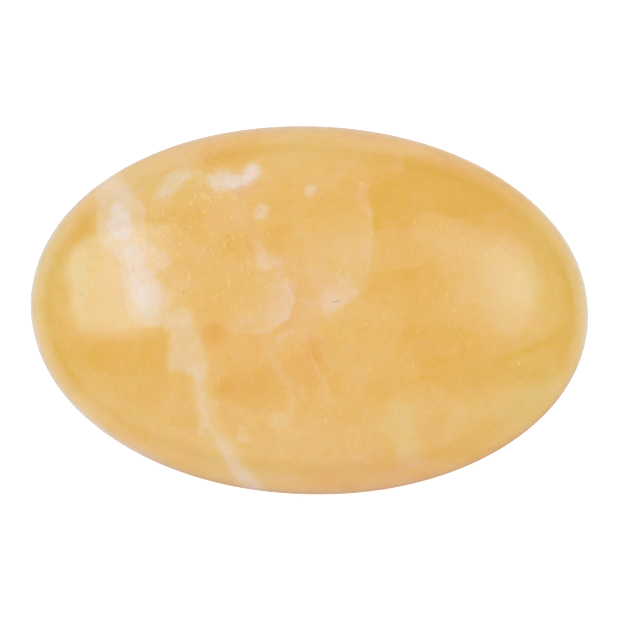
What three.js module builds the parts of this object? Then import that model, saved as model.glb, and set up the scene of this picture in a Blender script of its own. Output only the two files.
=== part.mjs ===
// A polished oval zen stone of orange calcite, in millimetres, +Z up.
// The origin is the middle of the small flat spot that the stone rests on. The length runs along X.
//
// The stone is one solid. A side profile of radius 0 to 1 and height -1 (the flat spot) to +1 (the
// crown) is turned round the upright axis, and each point is then moved out to the oval of the plan
// and to its real height above the flat spot.
import * as THREE from "three";

// Driving dimensions.
const LENGTH = 65;
const WIDTH = 43;
const THICKNESS = 26;
const GIRTH_HEIGHT = 12.4; // mean height of the widest line above the flat spot
const FLAT_SHARE = 0.2; // radius of the flat spot, as a share of the outline's
const PLAN_EXPONENT = 2.03; // 2 is an ellipse, and more is squarer
const SIDE_EXPONENT = 2.2;

// A stone ground by hand is never quite even.
const GIRTH_SWAY = 0.5; // how far the widest line rises and falls on its way round
const SWAY_PHASE = 0.9; // turns the sway round the upright axis, in radians
const LEAN_X = -0.02; // share of its height that the crown gains at the right end: here it loses
const LEAN_Y = 0.015; // the same at the far side

// Fineness of the faceted solid.
const SEGMENTS = 96;
const CROWN_RINGS = 21;
const UNDER_RINGS = 18;

const STONE_COLOUR = 0xe8bc75;

// Height over the rim, from 0 at radius 1 to 1 on the axis, on a superellipse.
function bulge(radius) {
  return Math.pow(1 - Math.pow(radius, SIDE_EXPONENT), 1 / SIDE_EXPONENT);
}

// Radii from the rim in to the given one, evenly spaced by angle, so that they lie closest at the rim.
function radiiFromRim(innerRadius, count) {
  const lastAngle = Math.acos(innerRadius);
  const radii = [];
  for (let i = 0; i < count; i++) {
    radii.push(Math.cos((lastAngle * i) / count));
  }
  return [...radii, innerRadius];
}

// The side profile from the middle of the flat spot, round the rim, to the top of the crown.
function sideProfile() {
  const under = radiiFromRim(FLAT_SHARE, UNDER_RINGS).reverse();
  const crown = radiiFromRim(0, CROWN_RINGS).slice(1);
  return [
    new THREE.Vector2(0, -1),
    ...under.map((radius) => new THREE.Vector2(radius, -bulge(radius) / bulge(FLAT_SHARE))),
    ...crown.map((radius) => new THREE.Vector2(radius, bulge(radius))),
  ];
}

// How far the oval outline reaches in the direction (cos, sin), as a multiple of the ellipse's reach.
function ovalReach(cos, sin) {
  const sum = Math.pow(Math.abs(cos), PLAN_EXPONENT) + Math.pow(Math.abs(sin), PLAN_EXPONENT);
  return Math.pow(sum, -1 / PLAN_EXPONENT);
}

// Moves a point of the turned profile to its real place on the stone.
function pressOval(point) {
  const angle = Math.atan2(point.y, point.x);
  const reach = Math.hypot(point.x, point.y) * ovalReach(Math.cos(angle), Math.sin(angle));
  const lengthwise = reach * Math.cos(angle);
  const widthwise = reach * Math.sin(angle);
  const girth = GIRTH_HEIGHT + GIRTH_SWAY * Math.sin(2 * angle + SWAY_PHASE);
  const crown = (THICKNESS - girth) * (1 + LEAN_X * lengthwise + LEAN_Y * widthwise);
  point.x = (lengthwise * LENGTH) / 2;
  point.y = (widthwise * WIDTH) / 2;
  point.z = girth + point.z * (point.z > 0 ? crown : girth);
}

function stoneGeometry() {
  const geometry = new THREE.LatheGeometry(sideProfile(), SEGMENTS);
  geometry.rotateX(Math.PI / 2); // a lathe turns round Y, and the stone stands along Z
  const position = geometry.getAttribute("position");
  const point = new THREE.Vector3();
  for (let i = 0; i < position.count; i++) {
    pressOval(point.fromBufferAttribute(position, i));
    position.setXYZ(i, point.x, point.y, point.z);
  }
  geometry.computeVertexNormals();
  return geometry;
}

function stoneMesh() {
  const material = new THREE.MeshStandardMaterial({
    color: STONE_COLOUR,
    roughness: 0.2,
    metalness: 0,
  });
  const mesh = new THREE.Mesh(stoneGeometry(), material);
  mesh.name = "stone";
  return mesh;
}

const zenStone = new THREE.Group();
zenStone.add(stoneMesh());

export default zenStone;
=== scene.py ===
"""Looks for the orange calcite zen stone: a polished oval pebble on a white table, seen from above.

The stone's skin is one fine mesh on the same formula as the CAD solid. Its markings are sheets that
run through the rock. They are drawn where the photograph shows them on the crown, and carried on
round the rim and underneath. Some marks are painted light: glints among the flecks and hairlines, and
painted shade in cracks and pits and in bands beside the lamps' reflections. Lengths are in metres
unless a name or its comment says mm, and marking routes are in pixels of the 620 x 620 photograph.
"""
import math

import bpy
import numpy as np
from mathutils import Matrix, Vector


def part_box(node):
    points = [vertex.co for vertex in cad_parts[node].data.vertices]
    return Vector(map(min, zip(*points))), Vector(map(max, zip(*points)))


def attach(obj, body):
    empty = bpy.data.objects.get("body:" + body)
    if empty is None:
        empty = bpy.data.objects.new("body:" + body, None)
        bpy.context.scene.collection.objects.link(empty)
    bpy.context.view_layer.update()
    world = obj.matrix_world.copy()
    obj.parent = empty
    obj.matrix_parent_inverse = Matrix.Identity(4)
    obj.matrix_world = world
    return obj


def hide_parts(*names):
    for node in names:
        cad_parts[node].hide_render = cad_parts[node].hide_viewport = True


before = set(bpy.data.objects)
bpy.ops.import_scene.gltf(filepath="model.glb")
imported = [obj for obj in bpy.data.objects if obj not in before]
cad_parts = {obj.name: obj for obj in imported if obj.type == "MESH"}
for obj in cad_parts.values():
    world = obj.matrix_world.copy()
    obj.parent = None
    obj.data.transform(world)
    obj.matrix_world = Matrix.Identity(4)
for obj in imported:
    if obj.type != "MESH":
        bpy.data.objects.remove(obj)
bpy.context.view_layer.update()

STONE_LOW, STONE_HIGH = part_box("stone")
MM = 0.001

# The form, as the CAD solid has it.
LENGTH = STONE_HIGH.x - STONE_LOW.x
WIDTH = STONE_HIGH.y - STONE_LOW.y
THICKNESS = STONE_HIGH.z - STONE_LOW.z
GIRTH_HEIGHT = 12.4 * MM
FLAT_SHARE = 0.2
PLAN_EXPONENT = 2.03
SIDE_EXPONENT = 2.2
GIRTH_SWAY = 0.5 * MM
SWAY_PHASE = 0.9
LEAN_X = -0.02
LEAN_Y = 0.015

# The skin's fineness, and the faint waves that grinding by hand leaves.
GRID_CELLS = 216
WAVE_DEPTH = 0.03 * MM
WAVE_LENGTHS_MM = (7.0, 9.5, 13.0, 18.0)
WAVE_SEED = 11
REST_MARGIN = 1.5 * MM  # the waves fade out this close to the flat spot

# Where the photograph shows the stone.
PHOTO_SIDE = 620
PHOTO_CENTRE = (309.5, 310.2)
PHOTO_TILT = math.radians(-1.874)
PIXELS_PER_MM = 8.572
LENS_MM = 200.0
SENSOR_MM = 36.0
FRAME_WIDTH = PHOTO_SIDE / PIXELS_PER_MM * MM
CAMERA_REACH = FRAME_WIDTH * LENS_MM / SENSOR_MM

# How the marking sheets run on below the girth.
SHEET_SLANT = (0.45, -0.3)
WANDER_LENGTHS_MM = (14.0, 19.0, 27.0)
WANDER_SEED = 5
WANDER_SHARE = 0.8
UNSEEN_BELOW = 3 * MM  # this far under the girth the solid noise has its full extra strength
UNSEEN_ABOVE = 2 * MM  # and this far over it, none

# How the marking fields are worked out.
SPLINE_STEPS = 5
DEPTH_LIMIT = 40.0  # depths are cut here, so that no field grows without end
FAINT = 0.012  # a strength that no longer shows
THREAD_MARGIN = 0.6  # in mm: how far outside a thread its strength is still kept

# The calcite's ragged marking edges, its solid noise as size in mm, strength and detail, and its polish.
RAGGED_MM = 1.6
RAGGED_REACH = 0.8
THREAD_WAVER = 0.6
MOTTLE_MM = 1.1
MOTTLE = 0.2
MOTTLE_NOISE = (0.25, 0.75)  # the noise levels between which the strength goes from least to most
NOISE_BANDS = ((5.0, 0.10, 2.0), (2.0, 0.10, 2.0), (0.8, 0.08, 1.0), (0.35, 0.03, 1.0))
HUE_MM = 1.5
HUE_SWING = 1.6
FACET_MM = 4.5
FACET_STRENGTH = 0.04
GRAIN_MM = 0.22
GRAIN_NOISE = (0.2, 0.8)
GRAIN_SPAN = (0.97, 1.03)

# Flecks: the rock's own specks, with painted glints among the pale ones. Width in mm, how many times
# longer, the turn in degrees, the noise level they start at, how much of their colour shows, and the colour.
FLECKS_AND_GLINTS = (
    (0.38, 4.2, 4, 0.60, 0.40, "#f7cf8c"),
    (0.32, 3.4, 38, 0.62, 0.34, "#f7d9a4"),
    (0.32, 3.4, -35, 0.62, 0.26, "#c58c42"),
)
FLECK_EDGE = 0.10
FLECK_GROUP_MM = 1.6
FLECK_GROUP_NOISE = (0.42, 0.62)
# Where the flecks and painted glints are more: as the clouds. The row at (468, 280) paints pores and glints
# into the right lamp's reflection.
FLECKED_AND_GLINTING = (
    (200, 225, 9.0, 8.0, 0, 0.6, 0.9), (300, 330, 18.0, 12.0, 0, 0.8, 0.25),
    (468, 280, 4.5, 5.5, 0, 0.8, 0.5),
)
FEWEST_FLECKS = 0.25
UNSEEN_NOISE_GAIN = 0.8
POLISH_MM = 3.0
POLISH_ROUGHNESS = (0.14, 0.22)
CALCITE_IOR = 1.6
SUBSURFACE_WEIGHT = 0.3
SUBSURFACE_RADII = (1.0, 0.6, 0.3)
SUBSURFACE_DEPTH = 1.2 * MM
HAIRLINE_EDGE = (1.4, 0.4)  # in half widths: where a hairline starts to show, and where it shows in full

# The studio. A radiance of 1 is white in the picture. It is staged to match the photograph, and isn't a
# physical one: what lights the stone and what its polish mirrors are set apart.
ROOM_RADIANCE = 0.15
ROOM_MIRRORED = 0.25
TABLE_COLOUR = "#f2f2f2"
TABLE_GLOW = 0.35
TABLE_BOUNCE = 1.12
# The table's mirror image: its linear colour at the two ends, behind and in front. The direction of the
# last two comes with the dot product at which their colour starts to show, and at which it is full.
TABLE_MIRRORED = (0.5, 0.85, 1.2, 1.0)
TABLE_MIRRORED_BEHIND = (0.58, 0.60, 0.72, 1.0)
TABLE_MIRRORED_IN_FRONT = (0.36, 0.25, 0.34, 1.0)
TABLE_BEHIND = ((0.0, 1.0, 0.0), 0.26, 0.64)
TABLE_IN_FRONT = ((0.26, -0.97, 0.0), 0.27, 0.66)
TABLE_LIT = (0.05, 0.16)  # how far from the stone's middle that image starts to dim, and ends
TABLE_SIDE = 4.0
TABLE_GAP = 0.02 * MM
LIGHT_STEP_BACK = 1.25
CLIP_START = CAMERA_REACH / 10

# Lamps that light the stone: name, centre and size in the picture's axes, tilt in degrees and radiance.
LIGHTING_LAMPS = (
    ("left_soft_box", (-0.326, 0.109, 0.234), (0.40, 0.40), (0, -45), 2.37),
    ("right_soft_box", (0.326, 0.109, 0.234), (0.40, 0.40), (0, 45), 2.3),
    ("front_card", (0.0, -0.36, 0.20), (0.60, 0.40), (50, 0), 1.5),
    ("back_card", (0.0, 0.38, 0.18), (0.60, 0.30), (-55, 0), 0.85),
)
# Lamps that the polish mirrors: the same with a linear colour, and then the four sides, left, right, near
# and far, each as the place where it starts, its lean and its softness.
MIRRORED_LAMPS = (
    (
        "left_mirror_image", (-0.333, 0.109, 0.227), (0.42, 0.40), (0, -45), (0.7, 1.95, 2.6),
        ((0.05, -0.75, 0.05), (1.0, 0.0, 0.15), (0.0, 0.0, 0.03), (1.0, 0.0, 0.04)),
    ),
    (
        "right_mirror_image", (0.305, 0.104, 0.255), (0.34, 0.49), (0, 45), (0.7, 2.05, 2.75),
        ((0.03, -0.40, 0.55), (0.84, 0.79, 0.12), (0.0, 0.0, 0.30), (1.0, 0.0, 0.50)),
    ),
    (
        "front_mirror_image", (0.0, -0.36, 0.20), (0.60, 0.40), (50, 0), (0.2, 0.45, 0.65),
        ((0.0, 0.0, 0.2), (1.0, 0.0, 0.2), (0.0, 0.0, 0.1), (1.0, 0.0, 0.3)),
    ),
)

# Milkiness runs from 0, clear deep orange, to 1, opaque white. Each strength below adds to it.
PLAIN_MILKINESS = 0.22

# Milky veins: rows of a pixel, the half width in mm and the strength there. Then the edge's softness in mm.
# The main vein is a wide halo with a whiter core.
VEIN_HALOS = (
    (0.7, (
        (193, 362, 1.6, 0.04), (196, 375, 1.3, 0.12), (200, 388, 1.2, 0.16), (203, 400, 1.2, 0.17),
        (207, 412, 1.2, 0.17), (211, 424, 1.1, 0.16), (218, 436, 1.1, 0.16), (226, 447, 1.1, 0.18),
        (234, 460, 1.1, 0.18), (243, 474, 1.1, 0.18), (254, 490, 1.1, 0.2), (258, 498, 1.1, 0.2),
    )),
)
VEINS = (
    (0.45, (
        (190, 360, 0.9, 0.02), (196, 372, 0.6, 0.1), (199, 384, 0.5, 0.16), (201, 396, 0.5, 0.17),
        (204, 410, 0.5, 0.18), (207, 422, 0.5, 0.2), (213, 432, 0.4, 0.14), (220, 441, 0.6, 0.16),
        (227, 450, 0.8, 0.14), (233, 463, 0.6, 0.14), (242, 476, 0.8, 0.14), (252, 488, 0.9, 0.16),
    )),
    (0.3, ((205, 417, 0.5, 0.2), (202, 425, 0.6, 0.28), (200, 433, 0.4, 0.2))),
    (0.35, ((185, 176, 0.5, 0.12), (195, 174, 0.4, 0.1), (207, 177, 0.5, 0.1))),
    (0.4, ((250, 235, 0.3, 0.06), (255, 243, 0.6, 0.18), (260, 251, 0.7, 0.14))),
)

# The milky haze about the upper vein, and below it: as the patches.
HAZES = (
    (0.4, 0.25, (
        (98, 168), (112, 168), (122, 175), (127, 186), (134, 196), (143, 204), (145, 214), (145, 226),
        (147, 238), (152, 246), (161, 251), (171, 257), (170, 265), (160, 271), (158, 279), (167, 287),
        (171, 297), (170, 308), (163, 322), (150, 328), (140, 325), (130, 316), (125, 304), (123, 290),
        (122, 276), (119, 262), (111, 251), (101, 243), (97, 234), (97, 222), (97, 208), (95, 198),
        (96, 186),
    )),
    (0.55, 0.27, (
        (160, 318), (168, 311), (180, 308), (192, 311), (192, 319), (194, 328), (199, 338), (203, 349),
        (207, 361), (208, 374), (203, 382), (194, 380), (189, 373), (180, 371), (169, 372), (167, 358),
        (170, 346), (168, 335),
    )),
)

# Milky patches: edge softness in mm, strength, and the outline, clockwise in the picture.
PATCHES = (
    (0.5, 0.28, (
        (113, 205), (117, 202), (123, 206), (129, 213), (132, 224), (132, 234), (126, 240), (118, 239),
        (111, 236), (108, 228), (109, 216),
    )),
    (0.4, 0.19, (
        (124, 245), (131, 241), (139, 245), (145, 254), (147, 263), (150, 273), (156, 282), (161, 291),
        (162, 302), (158, 312), (151, 318), (143, 317), (136, 309), (132, 299), (131, 288), (130, 276),
        (126, 262), (123, 253),
    )),
    (0.75, 0.5, (
        (208, 179), (213, 173), (222, 170), (233, 171), (241, 173), (245, 166), (251, 163), (257, 165),
        (260, 171), (257, 177), (252, 184), (245, 187), (238, 188), (229, 192), (219, 191), (212, 187),
    )),
    (0.4, 0.34, ((255, 209), (261, 204), (269, 206), (268, 212), (265, 218), (253, 219))),
    (0.35, 0.32, ((305, 189), (310, 184), (317, 187), (315, 193), (311, 198), (306, 195))),
    (0.5, 0.32, (
        (153, 199), (158, 190), (163, 180), (169, 173), (178, 170), (187, 171), (186, 179), (181, 187),
        (173, 193), (163, 198),
    )),
    (0.7, 0.17, ((270, 414), (275, 411), (281, 413), (282, 419), (277, 423), (271, 421))),
    (0.3, 0.18, ((240, 424), (245, 429), (248, 436), (248, 441), (242, 442), (238, 440), (238, 431))),
    (0.45, 0.22, (
        (258, 258), (263, 254), (269, 256), (276, 258), (283, 261), (279, 266), (273, 267), (266, 270),
        (257, 268),
    )),
    (0.2, 0.14, ((283, 280), (290, 278), (297, 281), (298, 287), (292, 291), (286, 289))),
    (0.35, 0.11, (
        (363, 181), (367, 180), (366, 190), (367, 199), (370, 207), (373, 214), (366, 215), (360, 209),
        (356, 200), (358, 190),
    )),
)

# Clear windows of deep orange: as the patches, with a strength that takes milkiness away. The second
# is painted shade: the dark band just below the left lamp's reflection.
WINDOWS_AND_PAINTED_SHADE = (
    (0.4, -0.18, (
        (369, 191), (377, 184), (389, 179), (400, 173), (404, 158), (418, 154), (432, 157), (446, 161),
        (460, 167), (474, 174), (487, 182), (497, 190), (505, 200), (500, 210), (488, 213), (476, 215),
        (462, 217), (450, 217), (440, 215), (427, 211), (418, 216), (412, 223), (402, 228), (374, 230),
        (373, 214), (370, 204),
    )),
    (0.5, -0.13, (
        (92, 344), (112, 342), (140, 342), (165, 343), (165, 358), (160, 368), (140, 374), (118, 376),
        (98, 372), (88, 360),
    )),
    (0.7, -0.11, (
        (404, 318), (424, 322), (448, 326), (470, 332), (482, 342), (476, 356), (458, 364), (438, 370),
        (420, 364), (412, 350), (404, 336),
    )),
)

# Ledges are cleavage planes seen edge on: crisp on their line and fading to the right of its course. They
# are colour alone, with no relief.
# Softness of the line and width of the fade in mm, then rows of a pixel and the strength there.
LEDGES = (
    (0.15, 2, ((244, 232, 0.02), (250, 236, 0.1), (258, 241, 0.14), (266, 249, 0.14), (273, 254, 0.08))),
    (0.12, 4.2, (
        (269, 260, 0.1), (274, 268, 0.18), (279, 278, 0.25), (286, 284, 0.27), (292, 291, 0.27),
        (295, 299, 0.28), (292, 309, 0.32), (289, 319, 0.34), (281, 323, 0.32), (275, 329, 0.32),
        (266, 334, 0.26), (250, 334, 0.2), (234, 332, 0.14), (224, 328, 0.02),
    )),
    (0.12, 2.4, (
        (371, 206, 0.04), (372, 213, 0.12), (373, 221, 0.16), (373, 232, 0.17), (372.5, 245, 0.17),
        (371.5, 258, 0.17), (370.5, 268, 0.17), (368, 275, 0.12), (365, 280, 0.02),
    )),
    (0.6, 2.4, (
        (366, 272, 0.02), (364, 281, 0.14), (361, 289, 0.2), (354, 297, 0.28), (346, 304, 0.32),
        (337, 309, 0.34), (328, 312, 0.32), (320, 311, 0.22), (312, 308, 0.02),
    )),
)

# The far sides of those planes, and others that lie across them.
FAR_LEDGES = (
    (0.12, 1.6, (
        (366, 272, -0.02), (378, 272, -0.14), (392, 270, -0.16), (406, 268, -0.16), (418, 266, -0.16),
        (426, 262, -0.12), (432, 252, -0.04),
    )),
    (0.4, 2.6, (
        (322, 314, 0.02), (318, 303, 0.1), (318, 292, 0.12), (313, 281, 0.11), (312, 270, 0.09),
        (316, 256, 0.02),
    )),
    (0.15, 1.6, (
        (379, 412, -0.01), (383, 424, -0.06), (387, 433, -0.08), (393, 440, -0.1), (395, 450, -0.12),
        (398, 458, -0.14), (403, 463, -0.14), (411, 467, -0.13), (421, 471, -0.12), (431, 475, -0.05),
        (438, 480, -0.01),
    )),
    (0.15, 0.9, (
        (322, 377, -0.02), (316, 365, -0.1), (311, 353, -0.18), (308, 341, -0.14), (310, 332, -0.02),
    )),
    (0.2, 2.4, (
        (212, 397, 0.02), (222, 400, 0.05), (232, 404, 0.08), (240, 407, 0.09), (248, 412, 0.09),
        (256, 416, 0.08), (266, 418, 0.02),
    )),
)

# Threads are healed cracks: half width in mm, then rows of a pixel and the strength there. The two below
# 0 are painted shade: the dark band just below the right lamp's reflection.
THREADS_AND_PAINTED_SHADE = (
    (0.75, (
        (264, 346, 0.02), (272, 358, 0.09), (279, 370, 0.13), (286, 381, 0.12), (290, 392, 0.15),
        (292, 404, 0.13), (289, 416, 0.08),
    )),
    (0.16, ((308, 247, 0.03), (309, 251, 0.14), (312, 254, 0.03))),
    (0.16, ((355, 297, 0.03), (360, 303, 0.16), (365, 305, 0.03))),
    (0.14, ((515, 356, -0.02), (530, 350, -0.1), (545, 341, -0.12), (557, 331, -0.04))),
    (0.4, ((309, 344, 0.02), (311, 356, 0.08), (315, 366, 0.12), (320, 373, 0.11), (323, 378, 0.05))),
    (0.65, ((321, 374, 0.04), (325, 384, 0.12), (327, 394, 0.1), (328, 408, 0.02))),
    (0.55, ((275, 345, 0.02), (281, 338, 0.18), (288, 333, 0.14), (297, 330, 0.02))),
    (0.28, ((337, 278, 0.04), (341, 268, 0.16), (346, 259, 0.14), (349, 252, 0.02))),
    (0.16, ((298, 300, 0.02), (308, 302, 0.13), (318, 302, 0.03))),
    (0.5, ((359, 286, 0.02), (361, 277, 0.14), (360, 268, 0.1), (358, 260, 0.02))),
    (0.4, ((313, 260, 0.02), (312, 268, 0.07), (313, 276, 0.06), (316, 284, 0.02))),
    (0.45, ((399, 148, 0.01), (401, 160, 0.08), (403, 178, 0.08), (405, 196, 0.01))),
    (0.7, (
        (494, 362, -0.04), (512, 356, -0.1), (528, 350, -0.14), (545, 342, -0.14), (558, 334, -0.08),
        (572, 318, -0.02),
    )),
)

# Hairlines: as the threads. Above 0 they darken cracks and pits, partly as painted shade: most lie where
# pits leave gaps in the lamps' reflections. Below 0 they are painted glints, small highlights put into
# the colour.
HAIRLINES_AND_PAINTED_GLINTS = (
    (0.12, ((331, 303, 0), (334, 302, 0.9), (338, 301.5, 0.9), (341, 301, 0))),
    (0.1, ((332, 281, 0), (335, 280, 0.7), (338, 280.5, 0))),
    (0.08, ((78, 299, 0), (81, 295, 0.6), (84, 291, 0))),
    (0.08, ((87, 264, 0), (87.5, 268, 0.6), (88, 272, 0))),
    (0.08, ((133, 265, 0), (133, 269, 0.6), (132, 273, 0))),
    (0.08, ((195, 206, 0), (198, 209, 0.7), (201, 212, 0))),
    (0.08, ((504, 251, 0), (507, 249, 0.6), (510, 247, 0))),
    (0.1, ((476, 272.5, 0), (477, 273.5, 0.8), (478, 274.5, 0))),
    (0.09, ((476.5, 290, 0), (477.5, 291, 0.7), (478.5, 292, 0))),
    (0.1, ((217.5, 387, 0), (218.5, 382, -0.3), (219, 377, 0))),
    (0.14, ((518, 361, 0), (519.5, 363.5, -0.45), (521, 366, 0))),
    (0.12, ((325, 418, 0), (325.5, 421, -0.45), (326, 424, 0))),
    (0.18, ((190, 200, 0), (190.5, 203, -0.5), (191, 206, 0))),
    (0.14, ((198, 170, 0), (200, 172, -0.4), (203, 174, 0))),
    (0.14, ((359, 185, 0), (360.5, 183.5, -0.6), (362, 182, 0))),
    (0.09, ((355.5, 191.5, 0), (356.5, 191, -0.9), (357.5, 190.5, 0))),
    (0.08, ((413.5, 218, 0), (414.5, 221, -0.6), (415.5, 224, 0))),
    (0.09, ((103.5, 374.5, 0), (105, 374, -0.9), (106.5, 373.5, 0))),
    (0.09, ((468.5, 346, 0), (470, 345, -0.7), (471.5, 344.5, 0))),
    (0.12, ((418, 329, 0), (418, 331, -0.5), (418.5, 333, 0))),
    (0.08, ((413, 361, 0), (413, 365, -0.35), (413, 369, 0))),
    (0.12, ((257, 214.5, 0), (262, 216, -0.4), (266, 217, 0))),
)

# Soft clouds: a pixel, the half length and half width in mm, the turn in degrees, the softness as a
# share of the radius, and the strength. They were placed one by one, many of them to even out what was
# left between the picture and the photograph.
# Clouds below 0 at the bands just under the two lamps' reflections and by the right end's rim are painted
# shade.
CLOUDS_AND_PAINTED_SHADE = (
    (455, 186, 4.4, 1.8, -14, 0.6, -0.05), (82, 350, 3.4, 3.4, 0, 0.6, -0.08),
    (415, 300, 3.2, 2.4, 0, 0.7, -0.06), (214, 334, 1.2, 1.2, 0, 0.4, -0.18),
    (226, 387, 0.9, 1, 0, 0.5, -0.1), (174, 220, 1.8, 1.2, 10, 0.6, -0.13),
    (88, 222, 0.9, 1.8, 30, 0.6, -0.05), (66, 250, 2, 4.5, -35, 0.6, -0.06),
    (279, 236, 1.8, 1.6, -30, 0.5, -0.12), (388, 388, 2.2, 1.4, 0, 0.6, -0.09),
    (252, 384, 3.6, 2.8, 0, 0.6, -0.05), (228, 148, 5.2, 1.1, 4, 0.6, -0.08),
    (350, 182, 1.2, 1.4, 0, 0.6, -0.08), (69, 288, 0.7, 1.6, 0, 0.5, -0.14),
    (300, 152, 5, 1.8, 0, 0.8, 0.08), (236, 181, 1.6, 0.7, 10, 0.5, 0.2),
    (251, 172, 0.9, 0.8, 40, 0.5, 0.16), (243, 191, 1.6, 0.7, 10, 0.7, 0.08),
    (330, 250, 3.6, 3.4, 0, 0.7, 0.08), (305, 280, 1.6, 4, 0, 0.7, 0.12),
    (338, 288, 2.2, 1.6, 0, 0.6, 0.08), (432, 240, 2, 3, 0, 0.7, 0.08),
    (400, 425, 1.9, 4.6, 12, 0.6, 0.09), (459, 432, 2, 2.2, 0, 0.6, 0.08),
    (237, 214, 1, 2.2, 8, 0.7, 0.08), (109, 183, 1, 0.8, -30, 0.6, 0.18),
    (120, 198, 1.1, 1.6, -20, 0.7, 0.13), (119, 223, 1, 1.3, 0, 0.6, 0.1),
    (147, 297, 1.1, 1.6, 0, 0.6, 0.13), (172, 186, 4.6, 2.4, 20, 0.7, 0.1),
    (180, 288, 2.4, 3, 0, 0.8, 0.08), (509, 193, 3.8, 1.1, -38, 0.7, -0.15),
    (216, 156, 2, 0.9, 10, 0.7, -0.09), (486, 216, 4.6, 1.4, -12, 0.6, -0.1),
    (330, 306, 3.6, 1.8, 12, 0.6, 0.12), (352, 252, 1.8, 1.8, 0, 0.7, 0.07),
    (250, 320, 3.4, 1.2, 0, 0.6, 0.06), (290, 328, 2.6, 1.8, 0, 0.7, 0.12),
    (271, 274, 1.8, 1.4, 30, 0.6, 0.17), (254, 270, 1.2, 1.6, 0, 0.7, 0.09),
    (287, 261, 1, 0.8, 0, 0.7, 0.08), (240, 243, 1.6, 1.6, 0, 0.7, -0.1),
    (462, 378, 4.4, 2, 0, 0.7, -0.08), (508, 403, 5, 2, 12, 0.6, 0.12),
    (460, 458, 4.6, 1.6, 20, 0.6, -0.07), (545, 325, 1.6, 1.6, 0, 0.8, 0.06),
    (560, 342, 1.8, 2, 0, 0.8, -0.07), (222, 280, 2.8, 2.2, 0, 0.7, 0.08),
    (220, 202, 2.4, 1.6, 0, 0.7, 0.08), (186, 160, 4, 1.4, 20, 0.7, 0.08),
    (415, 366, 3.6, 2, 0, 0.8, -0.07), (386, 175, 2.3, 1.7, 20, 0.8, -0.12),
    (428, 441, 1.8, 1.4, 0, 0.7, -0.06), (410, 424, 6.4, 3.4, 0, 0.8, -0.06),
    (228, 426, 4.4, 2, 0, 0.8, -0.08), (566, 330, 1.6, 3, 0, 0.8, -0.08),
    (103, 214, 1.1, 2.6, 0, 0.7, 0.13), (131, 196, 1.3, 2.4, -20, 0.7, 0.09),
    (112, 408, 4.6, 1.8, -30, 0.7, 0.12), (52, 262, 3.6, 1.3, 60, 0.7, 0.12),
    (244, 475, 7, 1.8, -12, 0.7, 0.1), (404, 478, 4, 1.4, 8, 0.7, 0.08),
    (428, 222, 2.8, 1.6, 0, 0.8, -0.09), (393, 312, 2, 1.8, 0, 0.8, 0.06),
    (178, 302, 2.2, 2.6, 0, 0.8, 0.05), (217, 316, 2, 1.6, 0, 0.8, -0.07),
    (397, 173, 1.3, 1.4, 0, 0.7, 0.1), (384, 161, 2.4, 0.9, 0, 0.8, -0.07),
    (463, 164, 4, 0.9, -27, 0.7, -0.11), (560, 243, 2.6, 1, -62, 0.7, -0.06),
    (57, 369, 4, 1.4, -58, 0.7, -0.09), (285, 137, 7.5, 1.3, 1, 0.8, -0.05),
    (156, 462, 4.6, 0.7, -28, 0.8, 0.24), (110, 292, 2, 2.4, 0, 0.8, 0.06),
    (75, 270, 1.4, 2.4, 0, 0.8, 0.06), (286, 289, 1.2, 1.3, 0, 0.6, 0.09),
    (276, 290, 0.9, 1.1, 0, 0.7, -0.1), (259, 280, 1.6, 1.1, 0, 0.7, -0.14),
    (279, 282, 1, 0.9, 0, 0.7, 0.1), (277, 304, 1.4, 1.6, 0, 0.7, 0.09),
    (279, 264, 1, 0.6, 0, 0.7, -0.08), (306, 252, 1.8, 1.8, 0, 0.7, -0.08),
    (262, 329, 2.4, 0.9, 0, 0.7, -0.08), (276, 322, 1.6, 0.8, 0, 0.7, -0.07),
    (250, 396, 3.8, 1.8, -10, 0.7, -0.08), (222, 375, 2.4, 1.2, 0, 0.7, 0.07),
    (276, 371, 1.4, 1.4, 0, 0.7, 0.06), (297, 396, 1, 1.6, 0, 0.7, 0.07),
    (77, 304, 1.2, 3.6, 0, 0.7, 0.05), (78, 264, 1.2, 1.6, 0, 0.7, 0.1),
    (98, 284, 1.4, 1.6, 0, 0.7, -0.07), (188, 250, 1.6, 1, 0, 0.7, 0.11),
    (150, 320, 3, 0.8, 0, 0.7, 0.09), (136, 337, 4, 0.9, 0, 0.7, -0.1),
    (184, 328, 1.6, 1, 0, 0.7, 0.12), (536, 404, 6.5, 1.4, 38, 0.7, 0.09),
    (188, 206, 1.8, 1.6, 0, 0.7, -0.07), (336, 386, 1.2, 1.4, 0, 0.7, -0.08),
    (281, 420, 1.6, 1, 0, 0.7, 0.09), (336, 418, 1.4, 1.2, 0, 0.7, -0.08),
    (410, 455, 1.6, 1.4, 0, 0.8, 0.08), (340, 468, 9, 1, 4, 0.8, 0.07),
    (290, 176, 4.4, 2.4, 0, 0.7, 0.08), (140, 184, 2.2, 2, 0, 0.8, 0.06),
    (496, 298, 3.6, 3, 0, 0.7, 0.1), (521, 266, 2, 2.6, 0, 0.7, -0.09),
)
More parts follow.
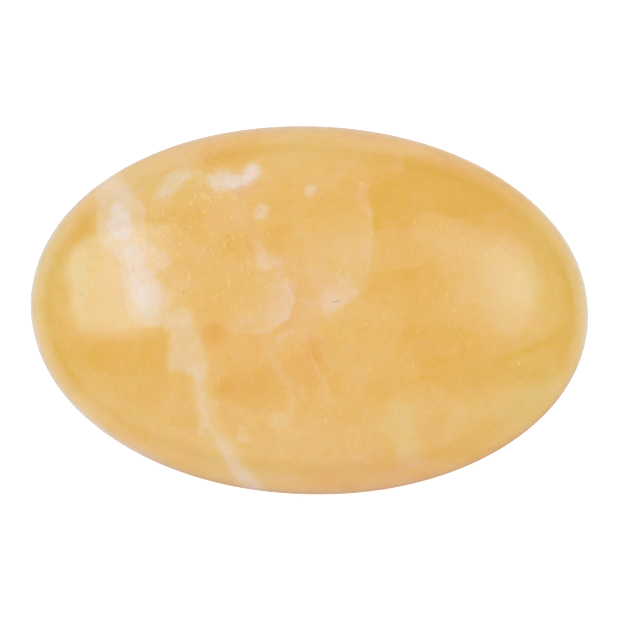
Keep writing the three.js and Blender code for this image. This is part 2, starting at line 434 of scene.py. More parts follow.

# Tints: as the clouds, and placed the same way. A strength above 0 is pink, and one below 0 is straw.
# Straw tints by the rims at the two ends and below the right lamp's reflection are painted shade: the deeper
# yellow where the polish mirrors dim gaps beside the lamps.
TINTS = (
    (400, 248, 3.6, 2.6, 0, 0.4, 0.2), (285, 300, 2.4, 3.4, 0, 0.6, 0.35),
    (335, 298, 2.4, 1.6, 0, 0.6, 0.4), (277, 260, 1.2, 1.2, 0, 0.5, 0.7),
    (243, 191, 1.6, 0.7, 10, 0.6, 0.7), (214, 334, 1.6, 1.6, 0, 0.5, 1),
    (316, 350, 1.2, 1.8, 0, 0.5, 1), (226, 387, 1.2, 1.2, 0, 0.5, 0.6),
    (370, 472, 8, 2.2, 5, 0.5, 0.7), (410, 472, 1.9, 1.1, -20, 0.5, 0.8),
    (190, 156, 3.4, 1.1, 18, 0.5, 0.6), (372, 137, 3, 1, -8, 0.5, 0.6),
    (456, 167, 2.4, 0.9, -22, 0.5, 0.7), (280, 365, 7, 5, 0, 0.7, 0.5),
    (540, 374, 4.2, 2.2, -20, 0.7, -0.8), (558, 285, 3, 8, 12, 0.5, -1),
    (48, 290, 1.8, 7, 0, 0.6, -0.9), (530, 350, 5.5, 1.6, 20, 0.6, -0.7),
    (534, 218, 2.6, 2, -40, 0.6, -0.6), (400, 425, 2.6, 4, 0, 0.6, -0.4),
    (300, 148, 5, 2, 0, 0.6, -0.4), (70, 365, 3, 3, 0, 0.6, -0.7),
    (118, 400, 5, 3.5, 0, 0.7, -0.3), (165, 190, 6, 4.5, 15, 0.6, -0.25),
    (240, 184, 2.4, 1.4, 10, 0.6, 0.4), (174, 182, 1.8, 1.2, 25, 0.6, -0.3),
    (536, 404, 6.5, 1.8, 38, 0.7, -0.8), (262, 211, 1.4, 1.4, 0, 0.6, 0.2),
    (256, 246, 1.2, 1.6, 30, 0.6, 0.6), (308, 190, 1.4, 1.2, 0, 0.6, 0.4),
    (361, 197, 0.9, 2.2, 0, 0.5, 0.7), (230, 214, 2.4, 1.8, 0, 0.6, 0.4),
    (72, 258, 4, 5.5, 0, 0.6, -0.5), (302, 288, 2.6, 4.5, 0, 0.6, 0.6),
    (130, 262, 4, 5, 0, 0.6, 0.6), (500, 400, 6, 3, 20, 0.7, -0.4),
)

# Colours along the milkiness, as a share of it.
MILKINESS_COLOURS = (
    (0.00, "#e1b050"),
    (0.16, "#e4b563"),
    (0.24, "#e5ba6e"),
    (0.36, "#e5bf7d"),
    (0.56, "#e6c697"),
    (0.80, "#e6d0b6"),
    (1.00, "#e8dbce"),
)
PINK_FILTER = "#fff7ff"
STRAW_FILTER = "#faffef"
# The hairline filter darkens cracks and pits, partly as painted shade. The glint colour is a painted
# highlight.
HAIRLINE_SHADE_FILTER = "#e2ddda"
PAINTED_GLINT_COLOUR = "#fbd899"


def linear(code):
    """An sRGB hex value as linear red, green, blue and alpha.

    It is c / 12.92 up to 0.04045, and ((c + 0.055) / 1.055)^2.4 above.
    """
    channels = [int(code[i : i + 2], 16) / 255 for i in (1, 3, 5)]
    return [c / 12.92 if c <= 0.04045 else ((c + 0.055) / 1.055) ** 2.4 for c in channels] + [1.0]


def per_mm(size_mm):
    """The texture scale at which a pattern's features measure size_mm."""
    return 1.0 / (size_mm * MM)


def smooth_step(low, high, value):
    """0 below low, 1 above high, and the cubic 3t^2 - 2t^3 between them."""
    share = np.clip((value - low) / (high - low), 0.0, 1.0)
    return share * share * (3.0 - 2.0 * share)


def sine_waves(points, lengths_mm, seed):
    """A smooth random field from -1 to 1: the mean of sines along random directions in space."""
    random = np.random.default_rng(seed)
    total = np.zeros(len(points))
    for length_mm in lengths_mm:
        direction = random.normal(size=3)
        direction /= np.linalg.norm(direction)
        phase = random.uniform(0, 2 * math.pi)
        total += np.sin(points @ direction * 2 * math.pi / (length_mm * MM) + phase)
    return total / len(lengths_mm)


def disc_from_square(across, up):
    """Radius and angle on the unit disc for points of the square from -1 to 1.

    Each square ring about the centre becomes a circle: the radius is the larger of |across| and |up|,
    and the angle is a quarter turn for each side, spread evenly along it. The radius then follows
    sin(90 degrees x radius), which packs the rings closest at the rim, where the side turns fastest.
    """
    sideways = np.abs(across) >= np.abs(up)
    ring = np.where(sideways, across, up)
    along = np.where(sideways, up, across) / np.where(ring == 0, 1.0, ring)
    angle = np.where(sideways, along * math.pi / 4, math.pi / 2 - along * math.pi / 4)
    angle = angle + np.where(ring < 0, math.pi, 0.0)
    return np.sin(np.abs(ring) * math.pi / 2), angle


def bulge(radius):
    """Height over the rim of a superellipse: (1 - r^p)^(1/p), 1 on the axis and 0 at radius 1."""
    return np.power(np.clip(1 - np.power(radius, SIDE_EXPONENT), 0, 1), 1 / SIDE_EXPONENT)


def skin_points(radius, angle, on_crown):
    """The stone's surface, as the CAD solid has it.

    The radius reaches the oval plan |x|^n + |y|^n = 1, scaled to the length and width. The girth sways
    by sin(2 x angle), and the bulge rises from it to the crown or sinks from it to the flat spot.
    """
    cosine = np.cos(angle)
    sine = np.sin(angle)
    oval = np.power(np.abs(cosine), PLAN_EXPONENT) + np.power(np.abs(sine), PLAN_EXPONENT)
    reach = radius * np.power(oval, -1 / PLAN_EXPONENT)
    lengthwise = reach * cosine
    widthwise = reach * sine
    girth = GIRTH_HEIGHT + GIRTH_SWAY * np.sin(2 * angle + SWAY_PHASE)
    rise = (THICKNESS - girth) * (1 + LEAN_X * lengthwise + LEAN_Y * widthwise) * bulge(radius)
    fall = girth * np.minimum(bulge(radius) / bulge(FLAT_SHARE), 1.0)
    height = girth + rise if on_crown else girth - fall
    return np.stack([lengthwise * LENGTH / 2, widthwise * WIDTH / 2, height], axis=-1)


def skin_grid():
    """Vertices and faces of the closed skin.

    Two square grids, pressed to discs, make the crown and the underside. They share the vertices of
    their outer ring, the girth, so that the skin has no seam.
    """
    count = GRID_CELLS + 1
    steps = np.linspace(-1, 1, count)
    across, up = np.meshgrid(steps, steps, indexing="ij")
    radius, angle = disc_from_square(across.ravel(), up.ravel())
    inner = np.maximum(np.abs(across), np.abs(up)).ravel() < 1 - 0.5 / GRID_CELLS
    crown = skin_points(radius, angle, True)
    under = skin_points(radius[inner], angle[inner], False)
    crown_index = np.arange(count * count)
    under_index = crown_index.copy()
    under_index[inner] = count * count + np.arange(len(under))
    corners = crown_index.reshape(count, count)
    quads = np.stack([corners[:-1, :-1], corners[1:, :-1], corners[1:, 1:], corners[:-1, 1:]], axis=-1)
    crown_faces = quads.reshape(-1, 4)
    under_faces = under_index[crown_faces[:, ::-1]]
    return np.concatenate([crown, under]), np.concatenate([crown_faces, under_faces])


def hand_ground(vertices):
    """Sinks each point by up to twice the wave depth, in slow waves. The flat spot stays flat."""
    outward = vertices - np.array([0, 0, GIRTH_HEIGHT])
    outward /= np.linalg.norm(outward, axis=1, keepdims=True)
    swell = sine_waves(vertices, WAVE_LENGTHS_MM, WAVE_SEED) - 1.0
    off_rest = smooth_step(0.0, REST_MARGIN, vertices[:, 2])
    return vertices + outward * (swell * off_rest * WAVE_DEPTH)[:, None]


def picture_axes():
    """The picture's right and up directions in the stone's plan: the camera is turned against the tilt."""
    turn = -PHOTO_TILT
    return np.array([math.cos(turn), math.sin(turn)]), np.array([-math.sin(turn), math.cos(turn)])


def from_photo(pixels):
    """Pixels of the photograph as millimetres from the stone's middle, x right and y up."""
    pixels = np.array(pixels, dtype=float)
    offset = np.stack([pixels[:, 0] - PHOTO_CENTRE[0], PHOTO_CENTRE[1] - pixels[:, 1]], axis=-1)
    return offset / PIXELS_PER_MM


def photo_places(vertices):
    """Each vertex's place in the photograph, in millimetres from the stone's middle, x right and y up.

    On the crown it is the plain pinhole view. Below the girth the marking sheets carry on through the
    rock at a slant, and wander more the deeper they go, so the underside is no mirror of the crown.
    """
    right, up = picture_axes()
    depth = np.clip(GIRTH_HEIGHT - vertices[:, 2], 0, None)[:, None]
    wander_x = sine_waves(vertices, WANDER_LENGTHS_MM, WANDER_SEED)
    wander_y = sine_waves(vertices, WANDER_LENGTHS_MM, WANDER_SEED + 1)
    wander = np.stack([wander_x, wander_y], axis=-1) * WANDER_SHARE
    above = np.clip(vertices[:, 2] - GIRTH_HEIGHT, 0, None)[:, None]
    plan = (vertices[:, :2] + depth * (wander + SHEET_SLANT)) * CAMERA_REACH / (CAMERA_REACH - above)
    return np.stack([plan @ right, plan @ up], axis=-1) / MM


def rounded(rows, closed=False):
    """A smooth curve through a route's rows: a Catmull-Rom spline with SPLINE_STEPS steps to each stretch.

    Between two rows it is the cubic whose slope at each row is half the way from the row before to
    the row after. All columns are carried, so widths and strengths change as smoothly.
    """
    rows = np.array(rows, dtype=float)
    if closed:
        padded = np.concatenate([rows[-1:], rows, rows[:2]])
    else:
        padded = np.concatenate([2 * rows[:1] - rows[1:2], rows, 2 * rows[-1:] - rows[-2:-1]])
    before, start, end, after = (padded[i : len(padded) - 3 + i, None] for i in range(4))
    t = (np.arange(SPLINE_STEPS) / SPLINE_STEPS)[None, :, None]
    curve = start + 0.5 * (
        (end - before) * t
        + (2 * before - 5 * start + 4 * end - after) * t**2
        + (3 * start - before - 3 * end + after) * t**3
    )
    return np.concatenate([curve.reshape(-1, rows.shape[1]), padded[-2:-1]])


def nearest_on_route(places, rows):
    """For each place: its distance to the route, the side it lies on, and the route's other columns there.

    The side is +1 on the right hand of someone who walks the route in the picture, and -1 on the left.
    """
    route = from_photo(rows[:, :2])
    best = np.full(len(places), np.inf)
    side = np.ones(len(places))
    columns = np.zeros((len(places), rows.shape[1] - 2))
    for i, (start, end) in enumerate(zip(route[:-1], route[1:])):
        length = np.linalg.norm(end - start)
        piece = (end - start) / length
        offset = places - start
        ahead = np.clip(offset @ piece, 0, length)
        distance = np.linalg.norm(offset - ahead[:, None] * piece, axis=1)
        cross = offset[:, 0] * piece[1] - offset[:, 1] * piece[0]
        nearer = distance < best
        share = (ahead / length)[:, None]
        values = rows[i, 2:] * (1 - share) + rows[i + 1, 2:] * share
        best = np.where(nearer, distance, best)
        side = np.where(nearer, np.where(cross >= 0, 1.0, -1.0), side)
        columns = np.where(nearer[:, None], values, columns)
    return best, side, columns


def vein_cover(places, shape):
    """A vein's (half width - distance) / softness, and its strength."""
    softness, rows = shape
    distance, _, columns = nearest_on_route(places, rounded(rows))
    return (columns[:, 0] - distance) / softness, columns[:, 1]


def patch_cover(places, shape):
    """A patch's depth inside its outline / softness, and its strength."""
    softness, strength, rows = shape
    distance, side, _ = nearest_on_route(places, rounded(rows, closed=True))
    return side * distance / softness, np.full(len(places), strength)


def ledge_cover(places, shape):
    """A ledge's depth behind its line / softness, and its strength x e^(-distance / fade)."""
    softness, fade, rows = shape
    distance, side, columns = nearest_on_route(places, rounded(rows))
    return side * distance / softness, columns[:, 0] * np.exp(-distance / fade)


def marking_layer(places, shapes, cover):
    """One layer of shapes that don't overlap: where each place is, and how strong the marking is there.

    The first field is the depth inside the nearest shape in units of its edge's softness, cut at
    DEPTH_LIMIT either way. A shape counts as left behind where its strength has faded to FAINT.
    """
    depth = np.full(len(places), -DEPTH_LIMIT)
    strength = np.zeros(len(places))
    for shape in shapes:
        new_depth, new_strength = cover(places, shape)
        in_force = (np.abs(new_strength) - FAINT) / FAINT * DEPTH_LIMIT
        new_depth = np.clip(np.minimum(new_depth, in_force), -DEPTH_LIMIT, DEPTH_LIMIT)
        deeper = new_depth > depth
        depth = np.where(deeper, new_depth, depth)
        strength = np.where(deeper, new_strength, strength)
    return depth, strength


def thread_layer(places, shapes):
    """The signed distance across the nearest thread in half widths, and the strength close to it."""
    nearest = np.full(len(places), np.inf)
    signed = np.zeros(len(places))
    strength = np.zeros(len(places))
    for half_width, rows in shapes:
        distance, side, columns = nearest_on_route(places, rounded(rows))
        across = distance / half_width
        nearer = across < nearest
        nearest = np.where(nearer, across, nearest)
        signed = np.where(nearer, side * across, signed)
        close_by = distance < half_width + THREAD_MARGIN
        strength = np.where(nearer, columns[:, 0] * close_by, strength)
    return signed, strength


def soft_blots(places, rows):
    """Sum of oval blots, each 1 inside and 0 outside over its softness, times its strength."""
    total = np.zeros(len(places))
    for x, y, half_length, half_width, turn, softness, strength in rows:
        angle = math.radians(turn)
        offset = places - from_photo([(x, y)])
        along = offset[:, 0] * math.cos(angle) + offset[:, 1] * math.sin(angle)
        across = offset[:, 1] * math.cos(angle) - offset[:, 0] * math.sin(angle)
        distance = np.hypot(along / half_length, across / half_width)
        total += strength * (1 - smooth_step(1 - softness, 1 + softness, distance))
    return total


def marking_fields(vertices):
    """All marking fields of the skin, by the name of the attribute that carries each."""
    places = photo_places(vertices)
    fields = {
        "cloud": soft_blots(places, CLOUDS_AND_PAINTED_SHADE),
        "tint": soft_blots(places, TINTS),
        "flecked_and_glinting": soft_blots(places, FLECKED_AND_GLINTING) + FEWEST_FLECKS,
        "unseen": 1 - smooth_step(GIRTH_HEIGHT - UNSEEN_BELOW, GIRTH_HEIGHT + UNSEEN_ABOVE, vertices[:, 2]),
    }
    for name, shapes, cover in (
        ("vein_halo", VEIN_HALOS, vein_cover), ("vein", VEINS, vein_cover), ("haze", HAZES, patch_cover),
        ("patch", PATCHES, patch_cover), ("window_and_shade", WINDOWS_AND_PAINTED_SHADE, patch_cover),
        ("ledge", LEDGES, ledge_cover), ("far_ledge", FAR_LEDGES, ledge_cover),
    ):
        fields[name + "_depth"], fields[name + "_strength"] = marking_layer(places, shapes, cover)
    for name, shapes in (("thread", THREADS_AND_PAINTED_SHADE), ("hairline", HAIRLINES_AND_PAINTED_GLINTS)):
        fields[name + "_depth"], fields[name + "_strength"] = thread_layer(places, shapes)
    return fields


def mesh_piece(name, vertices, faces, material):
    """A smooth-shaded mesh object at the origin from arrays of points and four-cornered faces."""
    mesh = bpy.data.meshes.new(name)
    mesh.vertices.add(len(vertices))
    mesh.vertices.foreach_set("co", vertices.astype(np.float32).ravel())
    mesh.loops.add(faces.size)
    mesh.loops.foreach_set("vertex_index", faces.astype(np.int32).ravel())
    mesh.polygons.add(len(faces))
    mesh.polygons.foreach_set("loop_start", np.arange(0, faces.size, 4, dtype=np.int32))
    mesh.update(calc_edges=True)
    mesh.shade_smooth()
    mesh.materials.append(material)
    piece = bpy.data.objects.new(name, mesh)
    bpy.context.scene.collection.objects.link(piece)
    return piece


def zen_stone(material):
    """The stone's skin with its marking fields as point attributes."""
    vertices, faces = skin_grid()
    piece = mesh_piece("zen_stone_skin", hand_ground(vertices), faces, material)
    for name, values in marking_fields(vertices).items():
        field = piece.data.attributes.new(name, "FLOAT", "POINT")
        field.data.foreach_set("value", values.astype(np.float32))
    return piece


def add_node(tree, kind, inputs, **settings):
    """Adds a node and sets its settings. An input given a socket is linked, and one given a value is set.

    A node given as an input stands for its first output. Inputs by number are, for Map Range, 0 the
    value, 1 and 2 the range it comes from and 3 and 4 the range it goes to, and for a colour Mix, 0
    the factor and 6 and 7 the colours.
    """
    node = tree.nodes.new(kind)
    for name, value in settings.items():
        setattr(node, name, value)
    for key, value in inputs.items():
        if isinstance(value, bpy.types.Node):
            value = value.outputs[0]
        if isinstance(value, bpy.types.NodeSocket):
            tree.links.new(value, node.inputs[key])
        else:
            node.inputs[key].default_value = value
    return node


def emptied_tree(holder):
    """The node tree of a material or a lamp, switched on and emptied."""
    holder.use_nodes = True
    holder.node_tree.nodes.clear()
    return holder.node_tree


def field_socket(tree, name):
    """The value of one of the skin's marking fields."""
    node = add_node(tree, "ShaderNodeAttribute", {}, attribute_name=name)
    return node.outputs["Fac"]


def with_layers(tree, total, shift, mottled):
    """The total plus each drawn layer's mottled strength, faded in as its shifted depth goes from -1 to 1."""
    for layer in ("vein_halo", "vein", "haze", "patch", "window_and_shade", "ledge", "far_ledge"):
        field = field_socket(tree, layer + "_depth")
        depth = add_node(tree, "ShaderNodeMath", {0: field, 1: shift}, operation="ADD")
        cover = add_node(
            tree, "ShaderNodeMapRange", {0: depth, 1: -1.0, 2: 1.0}, interpolation_type="SMOOTHSTEP"
        )
        field = field_socket(tree, layer + "_strength")
        strength = add_node(tree, "ShaderNodeMath", {0: mottled, 1: field}, operation="MULTIPLY")
        total = add_node(tree, "ShaderNodeMath", {0: cover, 1: strength, 2: total}, operation="MULTIPLY_ADD")
    return total


def with_threads(tree, total, shift):
    """The total plus the threads' strength, faded from their line to their half width, waved by the shift."""
    inputs = {0: shift, 1: THREAD_WAVER, 2: field_socket(tree, "thread_depth")}
    across = add_node(tree, "ShaderNodeMath", inputs, operation="MULTIPLY_ADD")
    off_line = add_node(tree, "ShaderNodeMath", {0: across}, operation="ABSOLUTE")
    cover = add_node(
        tree, "ShaderNodeMapRange", {0: off_line, 1: 1.0, 2: 0.0}, interpolation_type="SMOOTHSTEP"
    )
    inputs = {0: cover, 1: field_socket(tree, "thread_strength"), 2: total}
    return add_node(tree, "ShaderNodeMath", inputs, operation="MULTIPLY_ADD")


def with_noise(tree, total, place):
    """The total plus noise in bands of sizes, stronger where the photograph doesn't show the stone."""
    inputs = {0: field_socket(tree, "unseen"), 1: UNSEEN_NOISE_GAIN, 2: 1.0}
    gain = add_node(tree, "ShaderNodeMath", inputs, operation="MULTIPLY_ADD")
    for size_mm, strength, detail in NOISE_BANDS:
        noise = add_node(tree, "ShaderNodeTexNoise", {
            "Vector": place, "Scale": per_mm(size_mm), "Detail": detail, "Roughness": 0.5,
        })
        centred = add_node(tree, "ShaderNodeMath", {0: noise, 1: 0.5}, operation="SUBTRACT")
        scaled = add_node(tree, "ShaderNodeMath", {0: centred, 1: 2 * strength}, operation="MULTIPLY")
        total = add_node(tree, "ShaderNodeMath", {0: scaled, 1: gain, 2: total}, operation="MULTIPLY_ADD")
    return total


def milkiness(tree, place):
    """How milky the calcite is at each point: the drawn markings with ragged edges, plus solid noise."""
    ragged = add_node(tree, "ShaderNodeTexNoise", {
        "Vector": place, "Scale": per_mm(RAGGED_MM), "Detail": 4.0, "Roughness": 0.6,
    })
    inputs = {0: ragged, 1: 2 * RAGGED_REACH, 2: -RAGGED_REACH}
    shift = add_node(tree, "ShaderNodeMath", inputs, operation="MULTIPLY_ADD")
    inputs = {"Vector": place, "Scale": per_mm(MOTTLE_MM), "Detail": 3.0}
    mottle = add_node(tree, "ShaderNodeTexNoise", inputs)
    mottled = add_node(tree, "ShaderNodeMapRange", {
        0: mottle, 1: MOTTLE_NOISE[0], 2: MOTTLE_NOISE[1], 3: 1 - MOTTLE, 4: 1 + MOTTLE,
    })
    cloud = field_socket(tree, "cloud")
    total = add_node(tree, "ShaderNodeMath", {0: cloud, 1: PLAIN_MILKINESS}, operation="ADD")
    total = with_layers(tree, total, shift, mottled)
    total = with_noise(tree, with_threads(tree, total, shift), place)
    cells = add_node(tree, "ShaderNodeTexVoronoi", {"Vector": place, "Scale": per_mm(FACET_MM)})
    drawn = add_node(tree, "ShaderNodeSeparateColor", {"Color": cells.outputs["Color"]})
    facet = add_node(tree, "ShaderNodeMapRange", {0: drawn, 3: -FACET_STRENGTH, 4: FACET_STRENGTH})
    return add_node(tree, "ShaderNodeMath", {0: total, 1: facet}, operation="ADD")


def flecked_and_glinting(tree, colour, place):
    """The colour with small flecks in groups, where a noise drawn out along each row's turn is highest. The
    pale ones are partly painted glints.
    """
    groups = add_node(tree, "ShaderNodeTexNoise", {"Vector": place, "Scale": per_mm(FLECK_GROUP_MM)})
    grouped = add_node(
        tree, "ShaderNodeMapRange", {0: groups, 1: FLECK_GROUP_NOISE[0], 2: FLECK_GROUP_NOISE[1]}
    )
    plenty = add_node(
        tree, "ShaderNodeMath", {0: grouped, 1: field_socket(tree, "flecked_and_glinting")}, operation="MULTIPLY"
    )
    for width_mm, length, turn, level, strength, code in FLECKS_AND_GLINTS:
        turned = add_node(
            tree, "ShaderNodeVectorRotate", {"Vector": place, "Angle": -math.radians(turn)},
            rotation_type="Z_AXIS",
        )
        drawn_out = add_node(
            tree, "ShaderNodeVectorMath", {0: turned, 1: (1.0, 1 / length, 1.0)}, operation="MULTIPLY"
        )
        noise = add_node(
            tree, "ShaderNodeTexNoise", {"Vector": drawn_out, "Scale": per_mm(width_mm), "Detail": 1.0}
        )
        cover = add_node(
            tree, "ShaderNodeMapRange", {0: noise, 1: level, 2: level + FLECK_EDGE, 3: 0.0, 4: strength},
            interpolation_type="SMOOTHSTEP",
        )
        shown = add_node(tree, "ShaderNodeMath", {0: cover, 1: plenty}, operation="MULTIPLY")
        colour = add_node(
            tree, "ShaderNodeMix", {0: shown, 6: colour, 7: linear(code)}, data_type="RGBA"
        ).outputs[2]
    return colour


def grained(tree, colour, place):
    """The colour made a little lighter and darker by a fine grain."""
    noise = add_node(tree, "ShaderNodeTexNoise", {"Vector": place, "Scale": per_mm(GRAIN_MM), "Detail": 2.0})
    light = add_node(tree, "ShaderNodeMapRange", {
        0: noise, 1: GRAIN_NOISE[0], 2: GRAIN_NOISE[1], 3: GRAIN_SPAN[0], 4: GRAIN_SPAN[1],
    })
    return add_node(tree, "ShaderNodeVectorMath", {0: colour, "Scale": light}, operation="SCALE")


def hairlined_and_glinted(tree, colour):
    """The colour darkened on the hairlines above 0, partly as painted shade, and mixed with the painted glint
    colour on those below.
    """
    depth = field_socket(tree, "hairline_depth")
    off_line = add_node(tree, "ShaderNodeMath", {0: depth}, operation="ABSOLUTE")
    for sign, code, blend in ((1.0, HAIRLINE_SHADE_FILTER, "MULTIPLY"), (-1.0, PAINTED_GLINT_COLOUR, "MIX")):
        cover = add_node(
            tree, "ShaderNodeMapRange", {0: off_line, 1: HAIRLINE_EDGE[0], 2: HAIRLINE_EDGE[1], 4: sign},
            interpolation_type="SMOOTHSTEP",
        )
        share = add_node(
            tree, "ShaderNodeMath", {0: cover, 1: field_socket(tree, "hairline_strength")},
            operation="MULTIPLY", use_clamp=True,
        )
        mixed = add_node(
            tree, "ShaderNodeMix", {0: share, 6: colour, 7: linear(code)}, data_type="RGBA",
            blend_type=blend,
        )
        colour = mixed.outputs[2]
    return colour


def tinted(tree, colour, tint):
    """The colour through a pink filter where the tint is above 0 and a straw filter where it is below."""
    for sign, code in ((1.0, PINK_FILTER), (-1.0, STRAW_FILTER)):
        share = add_node(tree, "ShaderNodeMath", {0: tint, 1: sign}, operation="MULTIPLY", use_clamp=True)
        mixed = add_node(
            tree, "ShaderNodeMix", {0: share, 6: colour, 7: linear(code)}, data_type="RGBA",
            blend_type="MULTIPLY",
        )
        colour = mixed.outputs[2]
    return colour


def polished_orange_calcite():
    """Orange calcite, tumbled and polished: a waxy gloss over honey-coloured, faintly see-through rock.

    The milkiness sets the colour from deep orange to opaque white. A little light is carried under
    the surface, which softens the shading, and the gloss is that of calcite's mean IOR.
    """
    material = bpy.data.materials.new("polished_orange_calcite")
    tree = emptied_tree(material)
    place = add_node(tree, "ShaderNodeTexCoord", {}).outputs["Object"]
    ramp = add_node(tree, "ShaderNodeValToRGB", {"Fac": milkiness(tree, place)})
    stops = ramp.color_ramp.elements
    stops[0].position = MILKINESS_COLOURS[0][0]
    stops[0].color = linear(MILKINESS_COLOURS[0][1])
    stops[1].position = MILKINESS_COLOURS[-1][0]
    stops[1].color = linear(MILKINESS_COLOURS[-1][1])
    for position, code in MILKINESS_COLOURS[1:-1]:
        stops.new(position).color = linear(code)
    hue = add_node(tree, "ShaderNodeTexNoise", {"Vector": place, "Scale": per_mm(HUE_MM), "Detail": 3.0})
    swing = add_node(
        tree, "ShaderNodeMath", {0: hue, 1: HUE_SWING, 2: -HUE_SWING / 2}, operation="MULTIPLY_ADD"
    )
    tint = add_node(tree, "ShaderNodeMath", {0: swing, 1: field_socket(tree, "tint")}, operation="ADD")
    colour = tinted(tree, ramp.outputs["Color"], tint)
    # The flecks include painted glints, and the hairlines add painted shade and painted glints.
    colour = hairlined_and_glinted(tree, flecked_and_glinting(tree, grained(tree, colour, place), place))
    polish = add_node(
        tree, "ShaderNodeTexNoise", {"Vector": place, "Scale": per_mm(POLISH_MM), "Detail": 3.0}
    )
    roughness = add_node(
        tree, "ShaderNodeMapRange", {0: polish, 3: POLISH_ROUGHNESS[0], 4: POLISH_ROUGHNESS[1]}
    )
    shader = add_node(tree, "ShaderNodeBsdfPrincipled", {
        "Base Color": colour,
        "Roughness": roughness,
        "IOR": CALCITE_IOR,
        "Subsurface Weight": SUBSURFACE_WEIGHT,
        "Subsurface Radius": SUBSURFACE_RADII,
        "Subsurface Scale": SUBSURFACE_DEPTH,
    })
    add_node(tree, "ShaderNodeOutputMaterial", {"Surface": shader})
    return material


def by_ray(tree, seen, mirrored, otherwise):
    """A number with one value for the camera's own sight, one for mirror images and one otherwise."""
    path = add_node(tree, "ShaderNodeLightPath", {})
    value = otherwise
    for ray, wanted in (("Is Glossy Ray", mirrored), ("Is Camera Ray", seen)):
        inputs = {0: path.outputs[ray], 2: value, 3: wanted}
        mixed = add_node(tree, "ShaderNodeMix", inputs, data_type="FLOAT")
        value = mixed.outputs[0]
    return value


def lit_white_acrylic():
    """Matt white acrylic lit from below, as under product photographs: it stays white up to the stone.

    What the stone mirrors of it is bluish at the two ends, greyer behind, and dim and pinkish in front.
    It fades out away from the stone. That split is staging, made to match the stone's rim.
    """
    material = bpy.data.materials.new("lit_white_acrylic")
    tree = emptied_tree(material)
    matt = add_node(tree, "ShaderNodeBsdfDiffuse", {"Color": linear(TABLE_COLOUR)})
    glow = add_node(tree, "ShaderNodeEmission", {"Strength": TABLE_GLOW})
    seen = add_node(tree, "ShaderNodeAddShader", {0: matt, 1: glow})
    place = add_node(tree, "ShaderNodeTexCoord", {}).outputs["Object"]
    distance = add_node(tree, "ShaderNodeVectorMath", {0: place}, operation="LENGTH").outputs["Value"]
    near_stone = add_node(
        tree, "ShaderNodeMapRange", {0: distance, 1: TABLE_LIT[0], 2: TABLE_LIT[1], 3: 1.0, 4: 0.0},
        interpolation_type="SMOOTHSTEP",
    )
    outward = add_node(tree, "ShaderNodeVectorMath", {0: place}, operation="NORMALIZE")
    colour = TABLE_MIRRORED
    for (direction, start, full), side_colour in (
        (TABLE_BEHIND, TABLE_MIRRORED_BEHIND), (TABLE_IN_FRONT, TABLE_MIRRORED_IN_FRONT)
    ):
        toward = add_node(tree, "ShaderNodeVectorMath", {0: outward, 1: direction}, operation="DOT_PRODUCT")
        share = add_node(
            tree, "ShaderNodeMapRange", {0: toward.outputs["Value"], 1: start, 2: full, 3: 0.0, 4: 1.0},
            interpolation_type="SMOOTHSTEP",
        )
        colour = add_node(
            tree, "ShaderNodeMix", {0: share, 6: colour, 7: side_colour}, data_type="RGBA"
        ).outputs[2]
    mirrored = add_node(
        tree, "ShaderNodeEmission", {"Color": colour, "Strength": by_ray(tree, 0.0, near_stone, 0.0)}
    )
    bounced = add_node(tree, "ShaderNodeEmission", {"Strength": by_ray(tree, 0.0, 0.0, TABLE_BOUNCE)})
    unseen = add_node(tree, "ShaderNodeAddShader", {0: mirrored, 1: bounced})
    both = add_node(tree, "ShaderNodeMixShader", {
        0: by_ray(tree, 1.0, 0.0, 0.0),
        1: unseen,
        2: seen,
    })
    add_node(tree, "ShaderNodeOutputMaterial", {"Surface": both})
    return material


def table():
    """The white table: a plain square, a hair below the flat spot."""
    half = TABLE_SIDE / 2
    corners = np.array([[-half, -half, 0], [half, -half, 0], [half, half, 0], [-half, half, 0]])
    corners = corners - [0, 0, TABLE_GAP]
    top = mesh_piece("table", corners, np.array([[0, 1, 2, 3]]), lit_white_acrylic())


def studio_place(x, y, z):
    """A point given along the picture's axes as a point in the stone's frame."""
    right, up = picture_axes()
    return (x * right[0] + y * up[0], x * right[1] + y * up[1], z + GIRTH_HEIGHT)


def lamp(name, centre, size, tilt_degrees, colour):
    """A rectangular area light. It faces straight down before it is tilted about the picture's axes."""
    light = bpy.data.lights.new(name, "AREA")
    light.shape = "RECTANGLE"
    light.size, light.size_y = size
    light.energy = max(colour) * math.pi * light.size * light.size_y
    light.color = [c / max(colour) for c in colour]
    holder = bpy.data.objects.new(name, light)
    holder.location = studio_place(*centre)
    tilt_x, tilt_y = (math.radians(angle) for angle in tilt_degrees)
    holder.rotation_euler = (tilt_x, tilt_y, -PHOTO_TILT)
    holder.visible_camera = False
    bpy.context.scene.collection.objects.link(holder)
    return holder


def lighting_lamp(name, centre, size, tilt_degrees, radiance):
    """A lamp that lights the stone, but isn't mirrored in its polish.

    It stands further back than the lamp that is mirrored, with the same apparent size, because two
    lamps in one place would hide each other.
    """
    place = [c * LIGHT_STEP_BACK for c in centre]
    holder = lamp(name, place, [s * LIGHT_STEP_BACK for s in size], tilt_degrees, (radiance,) * 3)
    holder.visible_glossy = False


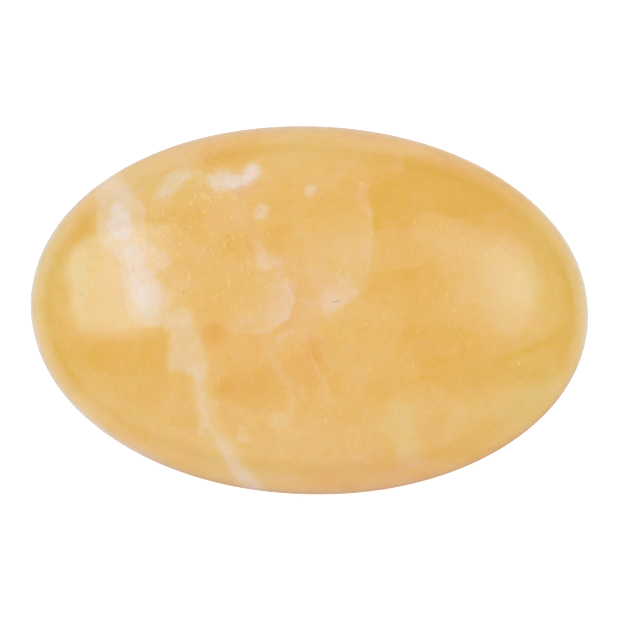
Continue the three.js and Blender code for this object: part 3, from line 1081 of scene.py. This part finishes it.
def mirrored_lamp(name, centre, size, tilt_degrees, colour, sides):
    """A lamp that the polish mirrors, but that doesn't light the stone.

    It is bluer than the light, as the photograph shows the mirror images. Each side, given as left,
    right, near and far, has the place where it starts, its lean and its softness, all as shares of
    the lamp's size. A side's line lies at start + lean x (place along the line - 1/2).
    """
    holder = lamp(name, centre, size, tilt_degrees, colour)
    holder.visible_diffuse = False
    tree = emptied_tree(holder.data)
    place = add_node(tree, "ShaderNodeNewGeometry", {}).outputs["Parametric"]
    axes = add_node(tree, "ShaderNodeSeparateXYZ", {"Vector": place})
    across, beyond = axes.outputs["X"], axes.outputs["Y"]
    strength = 1.0
    for value, along, inward, (start, lean, softness) in zip(
        (across, across, beyond, beyond), (beyond, beyond, across, across), (1, -1, 1, -1), sides
    ):
        inputs = {0: along, 1: -lean, 2: lean / 2 - start}
        line = add_node(tree, "ShaderNodeMath", inputs, operation="MULTIPLY_ADD")
        inside = add_node(tree, "ShaderNodeMath", {0: value, 1: line}, operation="ADD")
        cover = add_node(
            tree, "ShaderNodeMapRange", {0: inside, 1: 0.0, 2: inward * softness},
            interpolation_type="SMOOTHSTEP",
        )
        strength = add_node(tree, "ShaderNodeMath", {0: strength, 1: cover}, operation="MULTIPLY")
    glow = add_node(tree, "ShaderNodeEmission", {"Strength": strength})
    add_node(tree, "ShaderNodeOutputLight", {"Surface": glow})


def studio_light():
    """Two square soft boxes left and right, wide cards in front and behind, and a dim room around them."""
    for row in LIGHTING_LAMPS:
        lighting_lamp(*row)
    for row in MIRRORED_LAMPS:
        mirrored_lamp(*row)
    world = bpy.data.worlds.new("dim_room")
    world.use_nodes = True
    tree = world.node_tree
    background = tree.nodes["Background"]
    background.inputs["Color"].default_value = (1, 1, 1, 1)
    tree.links.new(by_ray(tree, 1.0, ROOM_MIRRORED, ROOM_RADIANCE), background.inputs["Strength"])
    bpy.context.scene.world = world


def camera():
    """Looks straight down on the stone, turned so that it lies at the photograph's tilt."""
    middle = from_photo([(PHOTO_SIDE / 2, PHOTO_SIDE / 2)])[0] * MM
    lens = bpy.data.cameras.new("camera")
    lens.lens = LENS_MM
    lens.sensor_width = SENSOR_MM
    lens.clip_start = CLIP_START
    viewer = bpy.data.objects.new("camera", lens)
    x, y, _ = studio_place(middle[0], middle[1], 0)
    viewer.location = (x, y, GIRTH_HEIGHT + CAMERA_REACH)
    viewer.rotation_euler = (0, 0, -PHOTO_TILT)
    bpy.context.scene.collection.objects.link(viewer)
    bpy.context.scene.camera = viewer


bpy.context.scene.view_settings.view_transform = "Standard"
camera()
studio_light()
table()
stone = zen_stone(polished_orange_calcite())
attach(stone, "root")
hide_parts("stone")
